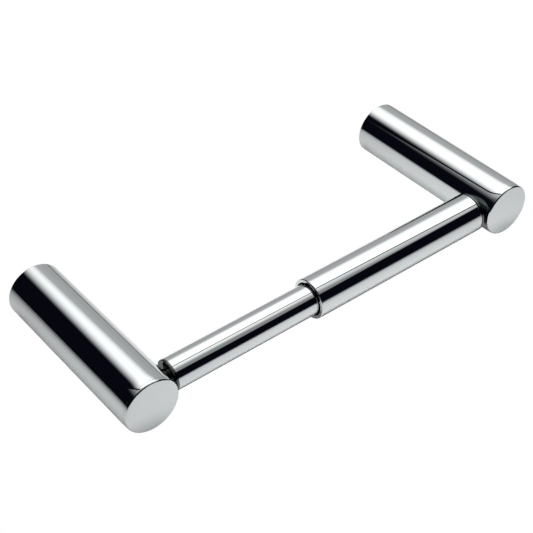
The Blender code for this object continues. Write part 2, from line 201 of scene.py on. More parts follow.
class HolderColours(bpy.types.PropertyGroup):
    """Colours of the finishes, linear."""

    chrome: bpy.props.FloatVectorProperty(
        name="Chrome", description="Colour that chrome plate gives its reflections", subtype="COLOR",
        default=linear("#c6cacb")
    )
    dark_chrome: bpy.props.FloatVectorProperty(
        name="Dark chrome", description="Dark chrome plate of the roller's plugs", subtype="COLOR",
        default=linear("#5c6160")
    )
    brass: bpy.props.FloatVectorProperty(
        name="Brass", description="Turned brass of the sleeves", subtype="COLOR", default=linear("#d8b268")
    )
    zinc: bpy.props.FloatVectorProperty(
        name="Zinc plate", description="Clear zinc plate of the wall brackets", subtype="COLOR",
        default=linear("#c3c8cf")
    )
    stainless: bpy.props.FloatVectorProperty(
        name="Stainless steel", description="Set screws", subtype="COLOR", default=linear("#b4b3ae")
    )
    spring_steel: bpy.props.FloatVectorProperty(
        name="Spring steel", description="Cold-drawn wire of the spring", subtype="COLOR",
        default=linear("#a3a3a6")
    )
    natural_nylon: bpy.props.FloatVectorProperty(
        name="Natural nylon", description="Moulded socket bushes", subtype="COLOR", default=linear("#e4e1d6")
    )
    black_nylon: bpy.props.FloatVectorProperty(
        name="Black nylon", description="Moulded sliding guide", subtype="COLOR", default=linear("#1d1d20")
    )


# ---------------------------------------------------------------- shapes


def rounded(corners, closed):
    """A profile from corners (radius, height, fillet), each turned into an arc of its fillet's radius.

    Each arc touches both of its straight runs, and on each run a point is set a little way off the arc.
    A corner without a fillet gets the least one, and a fillet of 0 leaves the corner as it is.
    A point of the arc is its centre + (sin((1 - share) turn) * start + sin(share turn) * end) / sin(turn),
    where start and end lead from the centre to the arc's two ends.
    """
    points = np.array([corner[:2] for corner in corners], float)
    fillets = [corner[2] if len(corner) > 2 else EDGE_BREAK for corner in corners]
    made = []
    last = len(points) - 1
    for i, (corner, fillet) in enumerate(zip(points, fillets)):
        if fillet == 0 or not closed and i in (0, last):
            made.append(corner[None])
            continue
        back = points[i - 1] - corner
        ahead = points[(i + 1) % len(points)] - corner
        back_length = np.linalg.norm(back)
        ahead_length = np.linalg.norm(ahead)
        back = back / back_length
        ahead = ahead / ahead_length
        half = math.acos(float(np.clip(back @ ahead, -1, 1))) / 2
        reach = min(fillet / math.tan(half), FILLET_SHARE * min(back_length, ahead_length))
        radius = reach * math.tan(half)
        middle = (back + ahead) / np.linalg.norm(back + ahead)
        centre = corner + middle * radius / math.sin(half)
        start = corner + back * reach - centre
        end = corner + ahead * reach - centre
        turn = math.pi - 2 * half
        count = max(2, int(round(ARC_STEPS * turn / (math.pi / 2))))
        share = np.linspace(0, 1, count + 1)[:, None]
        arc = centre + (np.sin((1 - share) * turn) * start + np.sin(share * turn) * end) / math.sin(turn)
        off_back = corner + back * (reach + min(SUPPORT, SUPPORT_SHARE * (back_length - reach)))
        off_ahead = corner + ahead * (reach + min(SUPPORT, SUPPORT_SHARE * (ahead_length - reach)))
        made.append(np.vstack([off_back, arc, off_ahead]))
    return np.vstack(made)


def grid_mesh(name, points, wrap_rows, pole_first=False, pole_last=False):
    """A mesh from a grid of points (rows, columns, 3) whose columns close on themselves.

    Quads run between neighbouring rows and columns; a pole row is one point, met by a fan of triangles.
    """
    rows, columns = points.shape[:2]
    body = points[1 if pole_first else 0:rows - 1 if pole_last else rows]
    count = len(body)
    index = np.arange(count * columns).reshape(count, columns)
    below = np.roll(index, -1, axis=0) if wrap_rows else index[1:]
    above = index if wrap_rows else index[:-1]
    quads = np.stack(
        [above, below, np.roll(below, -1, axis=1), np.roll(above, -1, axis=1)], axis=-1
    ).reshape(-1, 4)
    vertices = body.reshape(-1, 3)
    faces = quads.tolist()
    if pole_first:
        pole = np.full(columns, len(vertices))
        faces += np.stack([pole, index[0], np.roll(index[0], -1)], axis=-1).tolist()
        vertices = np.vstack([vertices, points[0, :1]])
    if pole_last:
        pole = np.full(columns, len(vertices))
        faces += np.stack([pole, np.roll(index[-1], -1), index[-1]], axis=-1).tolist()
        vertices = np.vstack([vertices, points[-1, :1]])
    mesh = bpy.data.meshes.new(name)
    mesh.from_pydata(vertices, [], faces)
    mesh.shade_smooth()
    return mesh


def new_object(name, mesh):
    """A mesh's object, at the origin."""
    obj = bpy.data.objects.new(name, mesh)
    bpy.context.scene.collection.objects.link(obj)
    return obj


def turned(name, profile, segments, centre, facing, closed=False):
    """A surface of revolution: (radius, height) goes round its axis as (r cos a, r sin a, h)."""
    angle = np.linspace(0, math.tau, segments, endpoint=False)
    radius, height = profile[:, :1], profile[:, 1:]
    local = np.stack(
        [radius * np.cos(angle), radius * np.sin(angle), np.broadcast_to(height, (len(profile), segments))],
        axis=-1,
    )
    world = local @ facing.T + np.array(centre)
    return new_object(name, grid_mesh(name, world, closed, not closed, not closed))


def turned_solid(name, corners, segments, centre, facing):
    """A surface of revolution with rounded corners, closed by its two ends on the axis."""
    return turned(name, rounded(corners, False), segments, centre, facing)


def turned_ring(name, corners, segments, centre, facing):
    """A surface of revolution with rounded corners, whose profile closes on itself."""
    return turned(name, rounded(corners, True), segments, centre, facing, closed=True)


def drill(obj, *cutters):
    """Cuts each cutter's shape out of a piece, removes the slivers that this leaves, and the cutter."""
    for cutter in cutters:
        modifier = obj.modifiers.new("Drill", "BOOLEAN")
        modifier.operation = "DIFFERENCE"
        modifier.solver = "EXACT"
        modifier.object = cutter
    view = bpy.context.evaluated_depsgraph_get()
    mesh = bpy.data.meshes.new_from_object(obj.evaluated_get(view))
    mesh.name = obj.name
    obj.modifiers.clear()
    obj.data = mesh
    cut = bmesh.new()
    cut.from_mesh(mesh)
    bmesh.ops.remove_doubles(cut, verts=cut.verts, dist=WELD)
    bmesh.ops.triangulate(cut, faces=cut.faces)
    bmesh.ops.dissolve_degenerate(cut, dist=WELD, edges=cut.edges)
    cut.to_mesh(mesh)
    cut.free()
    mesh.shade_smooth()
    mesh.set_sharp_from_angle(angle=SHARP_ANGLE)
    for cutter in cutters:
        bpy.data.objects.remove(cutter, do_unlink=True)


def finish_piece(obj, body, node, material):
    """Gives a piece its only material and ties it to the frame."""
    obj.data.materials.clear()
    obj.data.materials.append(material)
    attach(obj, body)
    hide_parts(node)


# ---------------------------------------------------------------- finishes


def add(tree, kind, inputs=None, **settings):
    """Adds a node with its settings; an input is a value or another node's output."""
    made = tree.nodes.new(kind)
    for key, value in settings.items():
        setattr(made, key, value)
    for key, value in (inputs or {}).items():
        if isinstance(value, bpy.types.NodeSocket):
            tree.links.new(value, made.inputs[key])
        else:
            made.inputs[key].default_value = value
    return made


def new_material(name, colour, metallic, roughness):
    """A new material, its tree, its shader and its Object coordinates."""
    material = bpy.data.materials.new(name)
    material.use_nodes = True
    tree = material.node_tree
    shader = tree.nodes["Principled BSDF"]
    shader.inputs["Base Color"].default_value = (*colour, 1)
    shader.inputs["Metallic"].default_value = metallic
    shader.inputs["Roughness"].default_value = roughness
    place = add(tree, "ShaderNodeTexCoord").outputs["Object"]
    return material, tree, shader, place


def vary_surface(tree, shader, rough_by, span, roughness, tone_by, first, second):
    """Lets one pattern move the roughness between two values, and one move the colour from first to second.

    Span is the part of the roughness pattern's values that counts.
    """
    rough = add(
        tree, "ShaderNodeMapRange",
        {"Value": rough_by, "From Min": span[0], "From Max": span[1], "To Min": roughness[0],
         "To Max": roughness[1]},
    )
    tree.links.new(rough.outputs[0], shader.inputs["Roughness"])
    tone = add(
        tree, "ShaderNodeMix", {"Factor": tone_by, MIX_A: (*first, 1), MIX_B: (*second, 1)}, data_type="RGBA"
    )
    tree.links.new(tone.outputs[MIX_RESULT], shader.inputs["Base Color"])


def chrome_plate(name, grain, roughness):
    """Bright chrome over polished nickel: a mirror, with the haze that buffing leaves along the grain.

    Grain is how fast the haze changes along X, Y and Z, in cycles to the metre.
    """
    colour = tuple(bpy.context.scene.holder_colours.chrome)
    material, tree, shader, place = new_material(name, colour, 1.0, roughness[0])
    stretched = add(tree, "ShaderNodeMapping", {"Vector": place, "Scale": grain})
    haze = add(tree, "ShaderNodeTexNoise", {"Vector": stretched.outputs[0], "Scale": 1.0, "Detail": 3.0})
    cloud = add(tree, "ShaderNodeTexNoise", {"Vector": place, "Scale": 1 / CLOUD_SIZE, "Detail": 2.0})
    both = add(tree, "ShaderNodeMath", {0: haze.outputs[0], 1: cloud.outputs[0]}, operation="MULTIPLY")
    # The plate's colour shifts by a hair where the layer is thicker, which keeps it from looking painted
    deeper = tuple(c * 0.965 for c in colour)
    vary_surface(tree, shader, both.outputs[0], (0.12, 0.42), roughness, cloud.outputs[0], deeper, colour)
    return material


def lathe_marks(tree, place, centre, axis, spacing):
    """Noise that only changes along a turned piece's axis and away from it, as a lathe tool's marks do."""
    moved = add(tree, "ShaderNodeVectorMath", {0: place, 1: centre}, operation="SUBTRACT")
    along = add(tree, "ShaderNodeVectorMath", {0: moved.outputs[0], 1: axis}, operation="DOT_PRODUCT")
    across = add(tree, "ShaderNodeVectorMath", {0: moved.outputs[0], 1: axis}, operation="CROSS_PRODUCT")
    away = add(tree, "ShaderNodeVectorMath", {0: across.outputs[0]}, operation="LENGTH")
    where = add(tree, "ShaderNodeCombineXYZ", {"X": along.outputs["Value"], "Y": away.outputs["Value"]})
    return add(
        tree, "ShaderNodeTexNoise", {"Vector": where.outputs[0], "Scale": 1 / spacing, "Detail": 2.0}
    ).outputs[0]


def turned_metal(name, colour, patina, centre, axis, spacing, depth, roughness):
    """A metal as it left the lathe: rings of tool marks that spread the reflections across them.

    Spacing and depth are those of the marks. Patina is a second colour that comes up in soft patches.
    """
    material, tree, shader, place = new_material(name, colour, 1.0, roughness)
    marks = lathe_marks(tree, place, centre, axis, spacing)
    bump = add(tree, "ShaderNodeBump", {"Height": marks, "Strength": 0.35, "Distance": depth})
    tree.links.new(bump.outputs[0], shader.inputs["Normal"])
    patches = add(tree, "ShaderNodeTexNoise", {"Vector": place, "Scale": 1 / PATINA_SIZE, "Detail": 3.0})
    share = add(
        tree, "ShaderNodeMapRange",
        {"Value": patches.outputs[0], "From Min": 0.35, "From Max": 0.7, "To Min": 0.0, "To Max": 1.0},
    ).outputs[0]
    spread = (roughness * 0.75, roughness * 1.3)
    vary_surface(tree, shader, marks, NOISE_SPAN, spread, share, colour, patina)
    return material


def moulded_nylon(name, colour, scatter):
    """Injection-moulded nylon: waxy, slightly translucent, with the fine matt grain of the mould."""
    material, tree, shader, place = new_material(name, colour, 0.0, 0.42)
    shader.inputs["IOR"].default_value = 1.53
    shader.inputs["Subsurface Weight"].default_value = scatter
    shader.inputs["Subsurface Radius"].default_value = (1.2 * MM, 1.0 * MM, 0.7 * MM)
    shader.inputs["Subsurface Scale"].default_value = 1.0
    grain, flow = (
        add(tree, "ShaderNodeTexNoise", {"Vector": place, "Scale": 1 / size, "Detail": 2.0}).outputs[0]
        for size in (MOULD_GRAIN, FLOW_SIZE)
    )
    bump = add(tree, "ShaderNodeBump", {"Height": grain, "Strength": 0.25, "Distance": 0.02 * MM})
    tree.links.new(bump.outputs[0], shader.inputs["Normal"])
    deeper = tuple(c * 0.88 for c in colour)
    vary_surface(tree, shader, flow, NOISE_SPAN, (0.34, 0.5), flow, colour, deeper)
    return material


# ---------------------------------------------------------------- pieces

POST_X = (RIGHT_TUBE[0].x + RIGHT_TUBE[1].x) / 2
POST_RADIUS = (RIGHT_TUBE[1].x - RIGHT_TUBE[0].x) / 2
POST_LENGTH = -LEFT_CAP[0].y
CAP_BACK = POST_LENGTH - 1.6 * MM       # where the cap's rim meets the tube
ROLL_OFF_POWER = 3
ROLL_OFF_LOOPS = 20
ROLLER_AXIS_Y = (THICK_TUBE[0].y + THICK_TUBE[1].y) / 2
ROLLER_AXIS = (0, ROLLER_AXIS_Y, 0)
THICK_RADIUS = (THICK_TUBE[1].z - THICK_TUBE[0].z) / 2
THIN_RADIUS = (THIN_TUBE[1].z - THIN_TUBE[0].z) / 2
MOUTH = THICK_TUBE[0].x
BUSH_RADIUS = (BUSH[1].z - BUSH[0].z) / 2
SET_SCREW_FROM_WALL = -(SET_SCREW[0].y + SET_SCREW[1].y) / 2
SET_SCREW_RADIUS = (SET_SCREW[1].x - SET_SCREW[0].x) / 2
TAPPED_RADIUS = SET_SCREW_RADIUS + 2 * HAIRLINE
SPRING_RADIUS = (SPRING[1].z - SPRING[0].z) / 2
NOSE_GAP = 0.5 * MM                     # between the spring and the two noses inside it


def post_side_radius(height, sizes):
    """The post's radius, polished down near its front edge: radius - depth * share of the way cubed."""
    start = POST_LENGTH - sizes.roll_off_length
    share = np.clip((height - start) / sizes.roll_off_length, 0, 1)
    return POST_RADIUS - sizes.roll_off_depth * share ** ROLL_OFF_POWER


def post_tube(side, x, inward, sizes):
    """The post's tube, drilled for its bush and, underneath, for its set screw."""
    top = CAP_BACK - HAIRLINE
    worn = np.linspace(POST_LENGTH - sizes.roll_off_length, top, ROLL_OFF_LOOPS)[::-1]
    bore = POST_RADIUS - sizes.post_wall
    corners = [(bore, top)]
    corners += [(float(post_side_radius(h, sizes)), float(h), 0) for h in worn]
    corners += [
        (POST_RADIUS, worn[-1] - SUPPORT, 0),
        (POST_RADIUS, 0.0, 0.3 * MM),
        (bore, 0.0, 0.2 * MM),
    ]
    obj = turned_ring(side + "_post_shell", corners, POST_SEGMENTS, (x, 0, 0), TO_FRONT)
    hole = BUSH_RADIUS + HAIRLINE
    inside = POST_RADIUS / 2
    reach = POST_RADIUS + CUTTER_PAST
    socket = turned(
        "socket_cutter", np.array([(0, reach), (hole, reach), (hole, inside), (0, inside)]),
        SMALL_SEGMENTS, (x, ROLLER_AXIS_Y, 0), inward,
    )
    flare = 0.35 * MM
    flared = TAPPED_RADIUS + 2 * flare
    screw = turned(
        "screw_cutter",
        np.array([
            (0, -inside), (TAPPED_RADIUS, -inside), (TAPPED_RADIUS, -POST_RADIUS + flare),
            (flared, -POST_RADIUS - flare), (flared, -reach), (0, -reach),
        ]),
        SMALL_SEGMENTS, (x, -SET_SCREW_FROM_WALL, 0), UPRIGHT,
    )
    drill(obj, socket, screw)
    return obj


def post_cap(side, x, sizes):
    """The flat front face, the last of the polished-down stretch and the spigot behind it.

    The edge between face and side is an arc of a circle, which ends where it runs along the side's slope.
    """
    slope = math.atan(ROLL_OFF_POWER * sizes.roll_off_depth / sizes.roll_off_length)
    side_end = POST_LENGTH - sizes.edge_radius * (1 - math.sin(slope))
    side_radius = float(post_side_radius(side_end, sizes))
    angle = np.linspace(math.pi / 2, slope, 14)
    centre = (
        side_radius - sizes.edge_radius * math.cos(slope), side_end - sizes.edge_radius * math.sin(slope)
    )
    corners = [(0, POST_LENGTH, 0), (centre[0] - SUPPORT, POST_LENGTH, 0)]
    corners += [
        (centre[0] + sizes.edge_radius * math.cos(a), centre[1] + sizes.edge_radius * math.sin(a), 0)
        for a in angle
    ]
    worn = np.linspace(side_end, CAP_BACK, 8)[1:-1]
    corners += [(float(post_side_radius(h, sizes)), float(h), 0) for h in worn]
    spigot = POST_RADIUS - sizes.post_wall - sizes.cap_spigot
    spigot_end = -LEFT_CAP[1].y
    corners += [
        (float(post_side_radius(CAP_BACK, sizes)), CAP_BACK),
        (spigot, CAP_BACK),
        (spigot, spigot_end, 0.3 * MM),
        (0, spigot_end, 0),
    ]
    return turned_solid(side + "_post_face", corners, POST_SEGMENTS, (x, 0, 0), TO_FRONT)


class HOLDER_OT_post_shells(bpy.types.Operator):
    """Builds both posts' chromed tubes and caps"""

    bl_idname = "holder.post_shells"
    bl_label = "Post Shells"

    def execute(self, context):
        sizes = context.scene.holder_sizes
        finish = chrome_plate("mirror_chrome_plate_posts", GRAIN_ALONG_Y, (0.012, 0.035))
        for side, sign in SIDES:
            inward = TO_LEFT if sign > 0 else TO_RIGHT
            tube = post_tube(side, sign * POST_X, inward, sizes)
            finish_piece(tube, "root", side + "_post_tube", finish)
            cap = post_cap(side, sign * POST_X, sizes)
            finish_piece(cap, "root", side + "_post_cap", finish)
        return {"FINISHED"}


def post_sleeve(side, x):
    """The brass ring inside the post's wall end, tapped underneath for the set screw."""
    radius = (SLEEVE[1].x - SLEEVE[0].x) / 2
    bore = radius - 1.3 * MM
    low, high = -SLEEVE[1].y, -SLEEVE[0].y
    corners = [
        (radius, high, 0.2 * MM), (radius, low, 0.3 * MM), (bore, low, 0.3 * MM), (bore, high, 0.2 * MM),
    ]
    obj = turned_ring(side + "_sleeve", corners, FIXING_SEGMENTS, (x, 0, 0), TO_FRONT)
    start, end = -0.4 * radius, -1.4 * radius
    cutter = turned(
        "sleeve_cutter", np.array([(0, start), (TAPPED_RADIUS, start), (TAPPED_RADIUS, end), (0, end)]),
        SMALL_SEGMENTS, (x, -SET_SCREW_FROM_WALL, 0), UPRIGHT,
    )
    drill(obj, cutter)
    return obj


def wall_bracket(side, x):
    """The turned boss on the wall: a V groove for the set screw and two counterbored screw holes."""
    radius = (BRACKET[1].x - BRACKET[0].x) / 2
    length = -BRACKET[0].y
    groove_depth, groove_half = 1.0 * MM, 1.6 * MM
    corners = [
        (0, length, 0),
        (radius - 1.0 * MM, length, 0.15 * MM),
        (radius, length - 1.0 * MM, 0.15 * MM),
        (radius, SET_SCREW_FROM_WALL + groove_half, 0.1 * MM),
        (radius - groove_depth, SET_SCREW_FROM_WALL, 0.1 * MM),
        (radius, SET_SCREW_FROM_WALL - groove_half, 0.1 * MM),
        (radius, 0, 0.25 * MM),
        (0, 0, 0),
    ]
    obj = turned_solid(side + "_bracket", corners, FIXING_SEGMENTS, (x, 0, 0), TO_FRONT)
    hole, head, floor, bevel = 1.9 * MM, 3.4 * MM, 3.0 * MM, 0.25 * MM
    web = 0.7 * MM
    offset = radius - groove_depth - web - head
    top = length + CUTTER_PAST
    profile = np.array([
        (0, top), (head + bevel, top), (head + bevel, length), (head, length - bevel), (head, floor),
        (hole + bevel, floor), (hole, floor - bevel), (hole, bevel), (hole + bevel, 0),
        (hole + bevel, -CUTTER_PAST), (0, -CUTTER_PAST),
    ])
    cutters = [
        turned("bracket_cutter", profile, SMALL_SEGMENTS, (x + s * offset, 0, 0), TO_FRONT) for s in (-1, 1)
    ]
    drill(obj, *cutters)
    return obj


def set_screw(side, x, sizes):
    """A cone-point set screw with a hexagon socket.

    The thread's radius is the screw's - depth * a triangle wave of (height / pitch - angle / full turn).
    """
    tip, end = SET_SCREW[1].z, SET_SCREW[0].z
    tip_radius = 0.4 * MM
    cone = SET_SCREW_RADIUS - tip_radius
    shoulder = tip - cone
    depth = 0.34 * MM
    height = np.linspace(shoulder, end + 0.2 * MM, 60)
    angle = np.linspace(0, math.tau, SMALL_SEGMENTS, endpoint=False)
    phase = height[:, None] / sizes.thread_pitch - angle[None] / math.tau
    wave = np.abs(2 * (phase - np.floor(phase)) - 1)
    fade = np.clip((shoulder - height) / (0.5 * sizes.thread_pitch), 0, 1)
    fade = fade * np.clip((height - end) / (0.5 * sizes.thread_pitch), 0, 1)
    thread = SET_SCREW_RADIUS - depth * wave * fade[:, None]
    plain = np.ones(SMALL_SEGMENTS)
    radius = np.vstack([
        0 * plain, 0.6 * tip_radius * plain, tip_radius * plain, thread,
        (SET_SCREW_RADIUS - 0.2 * MM) * plain, (SET_SCREW_RADIUS - 0.32 * MM) * plain, 0 * plain,
    ])
    rows = np.concatenate([[tip, tip, tip - 0.08 * MM], height, [end, end, end]])
    points = np.stack([
        x + radius * np.cos(angle),
        -SET_SCREW_FROM_WALL + radius * np.sin(angle),
        np.broadcast_to(rows[:, None], radius.shape),
    ], axis=-1)
    obj = new_object(side + "_grub_screw", grid_mesh(side + "_grub_screw", points, False, True, True))
    # A 2 mm hexagon key's socket with a drilled point at its bottom
    corner = 1.0 * MM / math.cos(math.pi / 6)
    outside = end - CUTTER_PAST
    key = turned(
        "key_cutter",
        np.array([(0, end + 1.6 * MM), (corner, end + 1.3 * MM), (corner, outside), (0, outside)]),
        6, (x, -SET_SCREW_FROM_WALL, 0), UPRIGHT,
    )
    drill(obj, key)
    return obj


class HOLDER_OT_wall_fixings(bpy.types.Operator):
    """Builds the sleeves, wall brackets and set screws that fix the posts to the wall"""

    bl_idname = "holder.wall_fixings"
    bl_label = "Wall Fixings"

    def execute(self, context):
        sizes = context.scene.holder_sizes
        colours = context.scene.holder_colours
        for side, sign in SIDES:
            x = sign * POST_X
            # Brass, turned and handled: warm yellow rings with browner patches where fingers were
            brass = turned_metal(
                f"turned_brass_{side}", tuple(colours.brass), linear("#b58a48"), (x, 0, 0), (0, 1, 0),
                0.25 * MM, 0.02 * MM, 0.24,
            )
            finish_piece(post_sleeve(side, x), "root", side + "_post_sleeve", brass)
            # Steel, turned coarsely and zinc plated: a dull blue-grey with the faint yellow of passivation
            zinc = turned_metal(
                f"zinc_plated_steel_{side}", tuple(colours.zinc), linear("#b9bda6"), (x, 0, 0), (0, 1, 0),
                0.35 * MM, 0.03 * MM, 0.34,
            )
            finish_piece(wall_bracket(side, x), "root", side + "_wall_bracket", zinc)
            # Stainless steel, cut on an automatic lathe: fine bright rings, a little greyer in patches
            greyer = tuple(c * 0.86 for c in colours.stainless)
            steel = turned_metal(
                f"stainless_set_screw_{side}", tuple(colours.stainless), greyer,
                (x, -SET_SCREW_FROM_WALL, 0), (0, 0, 1), 0.15 * MM, 0.01 * MM, 0.28,
            )
            finish_piece(set_screw(side, x, sizes), "root", side + "_set_screw", steel)
        return {"FINISHED"}


class HOLDER_OT_socket_bushes(bpy.types.Operator):
    """Builds the nylon cups in the posts that the roller's pins turn in"""

    bl_idname = "holder.socket_bushes"
    bl_label = "Socket Bushes"

    def execute(self, context):
        colours = context.scene.holder_colours
        sizes = context.scene.holder_sizes
        mouth = BUSH[1].x + POST_X
        back = BUSH[0].x + POST_X
        seat = back + 1.2 * MM
        bore = sizes.pin_diameter / 2 + CAD_GAP
        corners = [
            (0, seat, 0), (bore, seat, 0.4 * MM), (bore, mouth, 0.25 * MM), (BUSH_RADIUS, mouth, 0.15 * MM),
            (BUSH_RADIUS, back, 0.5 * MM), (0, back, 0),
        ]
        nylon = moulded_nylon("natural_nylon_moulded", tuple(colours.natural_nylon), 0.35)
        for side, sign in SIDES:
            inward = TO_LEFT if sign > 0 else TO_RIGHT
            centre = (sign * POST_X, ROLLER_AXIS_Y, 0)
            bush = turned_solid(side + "_bush", corners, SMALL_SEGMENTS, centre, inward)
            finish_piece(bush, "root", side + "_socket_bush", nylon)
        return {"FINISHED"}


class HOLDER_OT_roller_tubes(bpy.types.Operator):
    """Builds the roller's thick and thin chromed tubes"""

    bl_idname = "holder.roller_tubes"
    bl_label = "Roller Tubes"

    def execute(self, context):
        sizes = context.scene.holder_sizes
        chrome = chrome_plate("mirror_chrome_plate_tubes", GRAIN_ALONG_X, (0.01, 0.03))
        bore = THICK_RADIUS - sizes.thick_wall
        lip = bore - sizes.lip_overhang
        lip_length = 1.2 * MM
        end = THICK_TUBE[1].x + CAD_GAP - HAIRLINE
        corners = [
            (bore, end, 0.1 * MM), (THICK_RADIUS, end, 0.45 * MM), (THICK_RADIUS, MOUTH, sizes.mouth_radius),
            (lip, MOUTH, 0.2 * MM), (lip, MOUTH + lip_length, 0.1 * MM),
            (bore, MOUTH + lip_length + sizes.lip_overhang, 0.3 * MM),
        ]
        thick = turned_ring("thick_tube", corners, TUBE_SEGMENTS, ROLLER_AXIS, TO_RIGHT)
        finish_piece(thick, "roller_outer", "roller_outer_tube", chrome)
        thin_bore = THIN_RADIUS - sizes.thin_wall
        left = THIN_TUBE[0].x - CAD_GAP + HAIRLINE
        right = THIN_TUBE[1].x
        corners = [
            (THIN_RADIUS, right, 0.2 * MM), (THIN_RADIUS, left, 0.03 * MM), (thin_bore, left, 0.1 * MM),
            (thin_bore, right, 0.1 * MM),
        ]
        thin = turned_ring("thin_tube", corners, TUBE_SEGMENTS, ROLLER_AXIS, TO_RIGHT)
        finish_piece(thin, "roller_inner", "roller_inner_tube", chrome)
        return {"FINISHED"}


class HOLDER_OT_roller_plugs(bpy.types.Operator):
    """Builds the plugs that close the roller's ends and carry its pins"""

    bl_idname = "holder.roller_plugs"
    bl_label = "Roller Plugs"

    def execute(self, context):
        sizes = context.scene.holder_sizes
        colours = context.scene.holder_colours
        # Dark chrome plate over a turned plug: a smoky mirror in which the tool marks just show
        deeper = tuple(c * 0.9 for c in colours.dark_chrome)
        chrome = turned_metal(
            "dark_chrome_plate_turned", tuple(colours.dark_chrome), deeper, ROLLER_AXIS, (1, 0, 0),
            0.3 * MM, 0.002 * MM, 0.045,
        )
        pin = sizes.pin_diameter / 2
        tip = 0.8 * MM
        pin_end = THICK_PLUG[1].x
        face = pin_end - sizes.pin_length
        back = THICK_TUBE[1].x + CAD_GAP
        shoulder = THICK_RADIUS - HAIRLINE
        spigot = THICK_RADIUS - sizes.thick_wall - CAD_GAP
        spigot_end = back - CAD_GAP - 10 * MM
        nose_end = THICK_PLUG[0].x
        nose = SPRING_RADIUS - sizes.spring_wire - NOSE_GAP
        corners = [
            (0, pin_end, 0), (pin, pin_end, tip), (pin, face, 0.15 * MM), (shoulder, face, 0.5 * MM),
            (shoulder, back, 0.45 * MM), (spigot, back), (spigot, spigot_end, 0.3 * MM),
            (nose, spigot_end, 0.1 * MM), (nose, nose_end, 0.5 * MM), (0, nose_end, 0),
        ]
        plug = turned_solid("thick_tube_plug", corners, TUBE_SEGMENTS, ROLLER_AXIS, TO_RIGHT)
        finish_piece(plug, "roller_outer", "roller_outer_plug", chrome)
        pin_end = THIN_PLUG[0].x
        face = pin_end + sizes.pin_length
        back = THIN_TUBE[0].x - CAD_GAP
        shoulder = THIN_RADIUS - HAIRLINE
        spigot = THIN_RADIUS - sizes.thin_wall - CAD_GAP
        spigot_end = THIN_PLUG[1].x
        corners = [
            (0, spigot_end, 0), (spigot, spigot_end, 0.3 * MM), (spigot, back), (shoulder, back, 0.03 * MM),
            (shoulder, face, 0.8 * MM), (pin, face, 0.15 * MM), (pin, pin_end, tip), (0, pin_end, 0),
        ]
        plug = turned_solid("thin_tube_plug", corners, TUBE_SEGMENTS, ROLLER_AXIS, TO_RIGHT)
        finish_piece(plug, "roller_inner", "roller_inner_plug", chrome)
        return {"FINISHED"}


class HOLDER_OT_roller_guide(bpy.types.Operator):
    """Builds the black nylon guide that slides in the thick tube"""

    bl_idname = "holder.roller_guide"
    bl_label = "Roller Guide"

    def execute(self, context):
        sizes = context.scene.holder_sizes
        colours = context.scene.holder_colours
        radius = (GUIDE[1].z - GUIDE[0].z) / 2
        spigot = THIN_RADIUS - sizes.thin_wall - CAD_GAP
        nose = SPRING_RADIUS - sizes.spring_wire - NOSE_GAP
        nose_end = GUIDE[1].x
        collar_end = nose_end - 4 * MM
        collar_start = THIN_TUBE[1].x + CAD_GAP
        relief = 0.25 * MM
        waist = radius - relief
        band = 2.4 * MM
        corners = [
            (0, nose_end, 0), (nose, nose_end, 0.5 * MM), (nose, collar_end, 0.2 * MM),
            (radius, collar_end, 0.4 * MM), (radius, collar_end - band, 0.15 * MM),
            (waist, collar_end - band - relief, 0.15 * MM), (waist, collar_start + band + relief, 0.15 * MM),
            (radius, collar_start + band, 0.15 * MM), (radius, collar_start, 0.4 * MM),
            (spigot, collar_start, 0.1 * MM), (spigot, GUIDE[0].x, 0.4 * MM), (0, GUIDE[0].x, 0),
        ]
        nylon = moulded_nylon("black_nylon_moulded", tuple(colours.black_nylon), 0.0)
        guide = turned_solid("sliding_guide", corners, TUBE_SEGMENTS, ROLLER_AXIS, TO_RIGHT)
        finish_piece(guide, "roller_inner", "roller_guide", nylon)
        return {"FINISHED"}


def spring_height(turn, turns, wire, start, end):
    """Place of the wire's centre along the spring: closed turns at both ends, an even pitch between them."""
    closed = 1.25
    closed_pitch = wire + 0.15 * MM
    open_pitch = (end - start - 2 * closed * closed_pitch) / (turns - 2 * closed)
    below = np.minimum(turn, closed)
    above = np.maximum(turn - turns + closed, 0)
    return start + (below + above) * closed_pitch + (turn - below - above) * open_pitch


def drawn_wire(name, colour):
    """Cold-drawn spring wire: fine die lines along the wire and a dull grey-blue oxide between them."""
    material, tree, shader, _ = new_material(name, colour, 1.0, 0.3)
    along = add(tree, "ShaderNodeAttribute", attribute_name="along_wire").outputs["Fac"]
    around = add(tree, "ShaderNodeAttribute", attribute_name="around_wire").outputs["Fac"]
    where = add(tree, "ShaderNodeCombineXYZ", {"X": along, "Y": around})
    stretched = add(
        tree, "ShaderNodeMapping",
        {"Vector": where.outputs[0], "Scale": (1 / DIE_LINE_LENGTH, DIE_LINES, 1)},
    )
    lines = add(
        tree, "ShaderNodeTexNoise", {"Vector": stretched.outputs[0], "Scale": 1.0, "Detail": 2.0}
    ).outputs[0]
    bump = add(tree, "ShaderNodeBump", {"Height": lines, "Strength": 0.4, "Distance": 0.01 * MM})
    tree.links.new(bump.outputs[0], shader.inputs["Normal"])
    vary_surface(tree, shader, lines, NOISE_SPAN, (0.2, 0.42), lines, colour, linear("#6f737c"))
    return material


